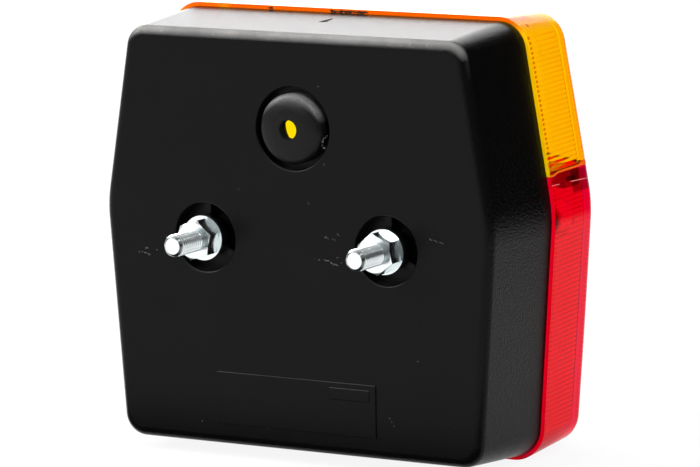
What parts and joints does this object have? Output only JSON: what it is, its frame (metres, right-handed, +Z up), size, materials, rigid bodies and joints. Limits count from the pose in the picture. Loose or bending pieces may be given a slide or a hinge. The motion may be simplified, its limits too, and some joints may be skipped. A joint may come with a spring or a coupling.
{
  "type": "trailer rear lamp",
  "caption": "Six-sided rear lamp with a black moulded base, amber upper lens and red lower lens, threaded mounting studs and a rubber cable grommet.",
  "frame": {"origin": "on the rear mounting face, midway between the two studs", "axes": "+Y out of the rear mounting face along the studs, +Z up, +X across; the lens faces -Y"},
  "size_m": [0.1034, 0.0605, 0.0983],
  "materials": {
    "base_plastic": "black moulded plastic, satin with a fine grain",
    "amber_plastic": "clear amber lens plastic, glossy",
    "red_plastic": "clear red lens plastic, glossy",
    "seal_rubber": "soft black seal",
    "grommet_rubber": "smooth black rubber, slight sheen",
    "zinc_steel": "bright zinc plating",
    "holder_steel": "tinned sheet steel",
    "contact_brass": "plain brass strip",
    "insulator_board": "brown laminate board",
    "bulb_cap": "plated bulb cap",
    "bulb_glass": "clear glass",
    "filament_wire": "dark wire"
  },
  "bodies": {
    "root": {"base_housing": "base_plastic", "amber_lens": "amber_plastic", "red_lens": "red_plastic", "lens_seal": "seal_rubber", "cable_grommet": "grommet_rubber", "mounting_studs": "zinc_steel", "stud_washers": "zinc_steel", "stud_nuts": "zinc_steel", "lens_screws": "zinc_steel", "indicator_bulb_holder": "holder_steel", "stop_tail_bulb_holder": "holder_steel", "earth_strip": "contact_brass", "holder_rivets": "holder_steel", "indicator_insulator": "insulator_board", "stop_tail_insulator": "insulator_board", "indicator_contact": "contact_brass", "stop_contact": "contact_brass", "tail_contact": "contact_brass", "indicator_bulb_cap": "bulb_cap", "indicator_bulb_glass": "bulb_glass", "indicator_bulb_filament": "filament_wire", "stop_tail_bulb_cap": "bulb_cap", "stop_tail_bulb_glass": "bulb_glass", "stop_tail_bulb_filaments": "filament_wire"}
  },
  "joints": []
}
